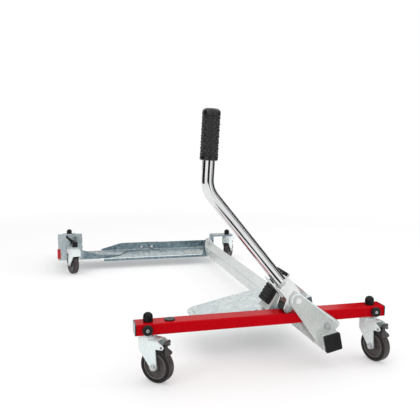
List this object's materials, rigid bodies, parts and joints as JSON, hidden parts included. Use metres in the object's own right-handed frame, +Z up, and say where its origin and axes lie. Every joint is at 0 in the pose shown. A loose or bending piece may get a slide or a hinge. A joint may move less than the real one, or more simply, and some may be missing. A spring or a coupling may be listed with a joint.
{
  "type": "motorcycle mover dolly",
  "caption": "Low wheeled dolly that carries a parked motorcycle: lever-lifted wheel tray on a cross beam, a spine tube and a side-stand tray, all on braked swivel castors.",
  "frame": {"origin": "on the floor, under the middle of the bounding box", "axes": "+X to the right along the rear beam, +Y forwards from the rear beam to the side-stand tray, +Z up"},
  "size_m": [0.755, 1.378, 0.5813],
  "materials": {
    "red_paint": "gloss",
    "zinc": "satin",
    "steel": "satin",
    "chrome": "polished",
    "black_plastic": "matte",
    "black_rubber": "matte",
    "wheel_grey": "matte",
    "red_plastic": "gloss"
  },
  "bodies": {
    "chassis": {"rear_beam": "red_paint", "beam_end_caps": "black_plastic", "beam_round_plug": "black_plastic", "beam_bumpers": "black_rubber", "bumper_screws": "steel", "dome_caps": "black_plastic", "castor_nuts": "steel", "pivot_lug": "red_paint", "rear_pivot_pin": "steel", "front_channel": "zinc", "front_pivot_pin": "steel", "right_shelf": "zinc", "slide_bolts": "steel", "castor_left_stem": "steel", "castor_right_stem": "steel", "castor_front_stem": "steel"},
    "cradle": {"spine_tube": "zinc", "spine_plugs": "black_plastic", "fork_plate_rear": "zinc", "fork_plate_front": "zinc", "front_ear": "zinc", "wheel_tray": "zinc", "stop_bracket": "zinc", "stop_pad": "black_rubber", "lever_bolt": "steel"},
    "lever": {"lever_socket": "zinc", "lever_tube": "chrome", "lever_grip": "black_rubber", "lever_strap": "zinc", "roller_pin": "steel"},
    "roller": {"cam_roller": "black_plastic"},
    "stand": {"stand_tray": "zinc", "near_shelf": "zinc", "far_shelf": "zinc", "edge_guard": "red_plastic", "stand_dome_caps": "black_plastic", "stand_castor_nuts": "steel", "castor_stand_near_stem": "steel", "castor_stand_far_stem": "steel"},
    "swivel_left": {"castor_left_fork": "zinc", "castor_left_axle": "steel"},
    "wheel_left": {"castor_left_wheel": "wheel_grey"},
    "brake_left": {"castor_left_pedal": "black_plastic"},
    "swivel_right": {"castor_right_fork": "zinc", "castor_right_axle": "steel"},
    "wheel_right": {"castor_right_wheel": "wheel_grey"},
    "brake_right": {"castor_right_pedal": "black_plastic"},
    "swivel_stand_near": {"castor_stand_near_fork": "zinc", "castor_stand_near_axle": "steel"},
    "wheel_stand_near": {"castor_stand_near_wheel": "wheel_grey"},
    "brake_stand_near": {"castor_stand_near_pedal": "black_plastic"},
    "swivel_stand_far": {"castor_stand_far_fork": "zinc", "castor_stand_far_axle": "steel"},
    "wheel_stand_far": {"castor_stand_far_wheel": "wheel_grey"},
    "brake_stand_far": {"castor_stand_far_pedal": "black_plastic"},
    "swivel_front": {"castor_front_fork": "zinc", "castor_front_axle": "steel"},
    "wheel_front": {"castor_front_wheel": "wheel_grey"},
    "brake_front": {"castor_front_pedal": "black_plastic"}
  },
  "joints": [
    {"name": "tray_lift", "type": "hinge", "parent": "chassis", "child": "cradle", "pos_m": [0.2255, -0.62802, 0.095], "axis": [0, -1, 0], "range_deg": [0, 4.2]},
    {"name": "lever_swing", "type": "hinge", "parent": "cradle", "child": "lever", "pos_m": [0.1515, -0.62802, 0.16], "axis": [0, 1, 0], "range_deg": [0, 66]},
    {"name": "roller_spin", "type": "hinge", "parent": "lever", "child": "roller", "pos_m": [0.12842, -0.62802, 0.1393], "axis": [0, 1, 0], "continuous": true},
    {"name": "stand_slide", "type": "slide", "parent": "chassis", "child": "stand", "axis": [-1, 0, 0], "range_m": [-0.01, 0.01]},
    {"name": "swivel_left", "type": "hinge", "parent": "chassis", "child": "swivel_left", "pos_m": [-0.1825, -0.62802, 0.1], "axis": [0, 0, 1], "continuous": true},
    {"name": "roll_left", "type": "hinge", "parent": "swivel_left", "child": "wheel_left", "pos_m": [-0.16524, -0.64469, 0.0375], "axis": [0.6947, 0.7193, 0], "continuous": true},
    {"name": "brake_left", "type": "hinge", "parent": "swivel_left", "child": "brake_left", "pos_m": [-0.15078, -0.65865, 0.084], "axis": [-0.6947, -0.7193, 0], "range_deg": [0, 12]},
    {"name": "swivel_right", "type": "hinge", "parent": "chassis", "child": "swivel_right", "pos_m": [0.3475, -0.62802, 0.1], "axis": [0, 0, 1], "continuous": true},
    {"name": "roll_right", "type": "hinge", "parent": "swivel_right", "child": "wheel_right", "pos_m": [0.35412, -0.65109, 0.0375], "axis": [0.9613, 0.2756, 0], "continuous": true},
    {"name": "brake_right", "type": "hinge", "parent": "swivel_right", "child": "brake_right", "pos_m": [0.35966, -0.67041, 0.084], "axis": [-0.9613, -0.2756, 0], "range_deg": [0, 12]},
    {"name": "swivel_stand_near", "type": "hinge", "parent": "stand", "child": "swivel_stand_near", "pos_m": [-0.3125, 0.3461, 0.1], "axis": [0, 0, 1], "continuous": true},
    {"name": "roll_stand_near", "type": "hinge", "parent": "swivel_stand_near", "child": "wheel_stand_near", "pos_m": [-0.32071, 0.36866, 0.0375], "axis": [-0.9397, -0.342, 0], "continuous": true},
    {"name": "brake_stand_near", "type": "hinge", "parent": "swivel_stand_near", "child": "brake_stand_near", "pos_m": [-0.32758, 0.38754, 0.084], "axis": [0.9397, 0.342, 0], "range_deg": [0, 12]},
    {"name": "swivel_stand_far", "type": "hinge", "parent": "stand", "child": "swivel_stand_far", "pos_m": [-0.3295, 0.62786, 0.1], "axis": [0, 0, 1], "continuous": true},
    {"name": "roll_stand_far", "type": "hinge", "parent": "swivel_stand_far", "child": "wheel_stand_far", "pos_m": [-0.32329, 0.65104, 0.0375], "axis": [-0.9659, 0.2588, 0], "continuous": true},
    {"name": "brake_stand_far", "type": "hinge", "parent": "swivel_stand_far", "child": "brake_stand_far", "pos_m": [-0.31809, 0.67045, 0.084], "axis": [0.9659, -0.2588, 0], "range_deg": [0, 12]},
    {"name": "swivel_front", "type": "hinge", "parent": "chassis", "child": "swivel_front", "pos_m": [0.32738, 0.48698, 0.1], "axis": [0, 0, 1], "continuous": true},
    {"name": "roll_front", "type": "hinge", "parent": "swivel_front", "child": "wheel_front", "pos_m": [0.34114, 0.50664, 0.0375], "axis": [-0.8192, 0.5736, 0], "continuous": true},
    {"name": "brake_front", "type": "hinge", "parent": "swivel_front", "child": "brake_front", "pos_m": [0.35267, 0.5231, 0.084], "axis": [0.8192, -0.5736, 0], "range_deg": [0, 12]}
  ],
  "couplings": [
    {"joint": "tray_lift", "follows": "lever_swing", "ratio": 0.063636}
  ]
}
